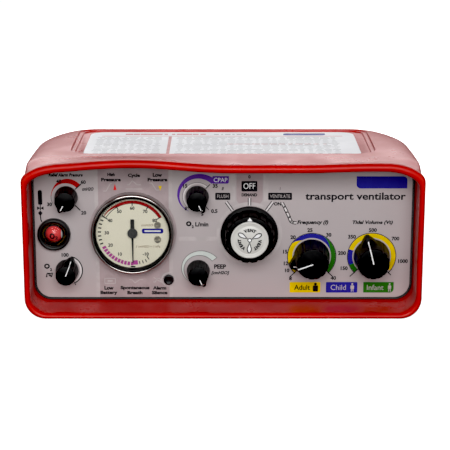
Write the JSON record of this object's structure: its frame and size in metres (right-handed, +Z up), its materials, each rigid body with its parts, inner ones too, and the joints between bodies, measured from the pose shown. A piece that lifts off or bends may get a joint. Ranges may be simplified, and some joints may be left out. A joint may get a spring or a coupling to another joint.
{
  "type": "mechanical ventilator",
  "caption": "Portable pneumatic transport ventilator: moulded carrying case with a recessed panel of setting knobs, a main selector, a round pressure gauge and rear gas ports.",
  "frame": {"origin": "centre of the flat base, on the surface that the ventilator stands on", "axes": "+X to the right seen from the front, +Y from the front rim to the rear ports, +Z up"},
  "size_m": [0.22, 0.166, 0.0911],
  "materials": {
    "case_red": "glossy moulded skin with a fine satin texture",
    "black_plastic": "moulded black, satin to glossy",
    "white_cap": "white moulded cap",
    "panel_print": "printed grey polyester overlay",
    "label_print": "printed white label",
    "seal_rubber": "soft black gasket",
    "sheet_steel": "bent aluminium sheet, brushed",
    "screw_steel": "turned steel screws",
    "chrome_bezel": "polished chrome",
    "clear_lens": "clear lens",
    "dial_face": "printed cream dial",
    "pointer_black": "matt black needle",
    "brass": "turned and stamped brass",
    "spindle_steel": "turned stainless steel",
    "indicator_red": "red and white moulded ball",
    "board_green": "lacquered circuit board",
    "light_clear": "diffused light-emitting diodes",
    "cell_wrap": "shrink-wrapped cell",
    "port_metal": "anodised port",
    "outlet_plastic": "pale moulded outlet",
    "manifold_metal": "machined block",
    "clear_tube": "soft clear tube"
  },
  "bodies": {
    "ventilator": {"protective_case": "case_red", "instruction_label": "label_print", "case_screws": "screw_steel", "bracket_inserts": "brass", "front_panel": "sheet_steel", "panel_overlay": "panel_print", "panel_seal": "seal_rubber", "chassis_tray": "sheet_steel", "chassis_screws": "screw_steel", "gauge_can": "pointer_black", "gauge_bezel": "chrome_bezel", "gauge_glass": "clear_lens", "gauge_dial": "dial_face", "gauge_dial_screws": "brass", "gauge_plates": "brass", "gauge_capsule": "brass", "relief_valve_body": "brass", "oxygen_valve_body": "brass", "cpap_valve_body": "brass", "peep_valve_body": "brass", "selector_valve_body": "brass", "frequency_valve_body": "brass", "volume_valve_body": "brass", "spindle_nuts": "screw_steel", "indicator_bezel": "black_plastic", "indicator_lens": "clear_lens", "indicator_cylinder": "brass", "silence_switch": "black_plastic", "alarm_board": "board_green", "alarm_lights": "light_clear", "alarm_sounder": "black_plastic", "battery_holder": "black_plastic", "battery": "cell_wrap", "gas_inlet": "port_metal", "patient_outlet": "outlet_plastic", "manifold": "manifold_metal", "regulator": "brass", "pneumatic_tubes": "clear_tube"},
    "relief_control": {"relief_knob": "black_plastic", "relief_spindle": "spindle_steel"},
    "oxygen_control": {"oxygen_knob": "black_plastic", "oxygen_spindle": "spindle_steel"},
    "cpap_control": {"cpap_knob": "black_plastic", "cpap_spindle": "spindle_steel"},
    "peep_control": {"peep_knob": "black_plastic", "peep_spindle": "spindle_steel"},
    "selector_control": {"selector_knob": "black_plastic", "selector_spindle": "spindle_steel", "selector_cap": "white_cap"},
    "frequency_control": {"frequency_knob": "black_plastic", "frequency_spindle": "spindle_steel"},
    "volume_control": {"volume_knob": "black_plastic", "volume_spindle": "spindle_steel"},
    "gauge_needle": {"gauge_pointer": "pointer_black", "gauge_pinion": "brass"},
    "gauge_quadrant": {"gauge_sector": "brass"},
    "supply_indicator": {"indicator_ball": "indicator_red"},
    "silence_key": {"silence_button": "black_plastic"},
    "cell_cap": {"battery_cap": "black_plastic"},
    "timing_shuttle": {"timing_spool": "spindle_steel"}
  },
  "joints": [
    {"name": "relief_turn", "type": "hinge", "parent": "ventilator", "child": "relief_control", "pos_m": [-0.0873, -0.0515, 0.0641], "axis": [0, 1, 0], "range_deg": [-72, 198]},
    {"name": "oxygen_turn", "type": "hinge", "parent": "ventilator", "child": "oxygen_control", "pos_m": [-0.0879, -0.0515, 0.0212], "axis": [0, 1, 0], "range_deg": [0, 130]},
    {"name": "cpap_turn", "type": "hinge", "parent": "ventilator", "child": "cpap_control", "pos_m": [-0.0144, -0.0515, 0.0643], "axis": [0, 1, 0], "range_deg": [-20, 250]},
    {"name": "peep_turn", "type": "hinge", "parent": "ventilator", "child": "peep_control", "pos_m": [-0.014, -0.0515, 0.021], "axis": [0, 1, 0], "range_deg": [0, 250]},
    {"name": "selector_turn", "type": "hinge", "parent": "ventilator", "child": "selector_control", "pos_m": [0.0147, -0.0515, 0.0428], "axis": [0, 1, 0], "range_deg": [-35, 35]},
    {"name": "frequency_turn", "type": "hinge", "parent": "ventilator", "child": "frequency_control", "pos_m": [0.0498, -0.0515, 0.0294], "axis": [0, 1, 0], "range_deg": [-25, 245]},
    {"name": "volume_turn", "type": "hinge", "parent": "ventilator", "child": "volume_control", "pos_m": [0.0835, -0.0515, 0.0295], "axis": [0, 1, 0], "range_deg": [-121, 149]},
    {"name": "gauge_needle_turn", "type": "hinge", "parent": "ventilator", "child": "gauge_needle", "pos_m": [-0.0506, -0.0515, 0.0439], "axis": [0, 1, 0], "range_deg": [-30, 240]},
    {"name": "gauge_quadrant_turn", "type": "hinge", "parent": "ventilator", "child": "gauge_quadrant", "pos_m": [-0.0506, -0.04, 0.0579], "axis": [0, 1, 0], "range_deg": [-41, 6]},
    {"name": "indicator_turn", "type": "hinge", "parent": "ventilator", "child": "supply_indicator", "pos_m": [-0.0947, -0.0494, 0.0426], "axis": [1, 0, 0], "range_deg": [0, 90]},
    {"name": "silence_press", "type": "slide", "parent": "ventilator", "child": "silence_key", "axis": [0, 1, 0], "range_m": [0, 0.0012], "stiffness_N_per_m": 400},
    {"name": "battery_cap_turn", "type": "hinge", "parent": "ventilator", "child": "cell_cap", "pos_m": [0, 0.075, 0.042], "axis": [0, 1, 0], "range_deg": [0, 90]},
    {"name": "timing_shuttle_slide", "type": "slide", "parent": "ventilator", "child": "timing_shuttle", "axis": [1, 0, 0], "range_m": [-0.003, 0.003]}
  ],
  "couplings": [
    {"joint": "gauge_quadrant_turn", "follows": "gauge_needle_turn", "ratio": -0.16667}
  ]
}
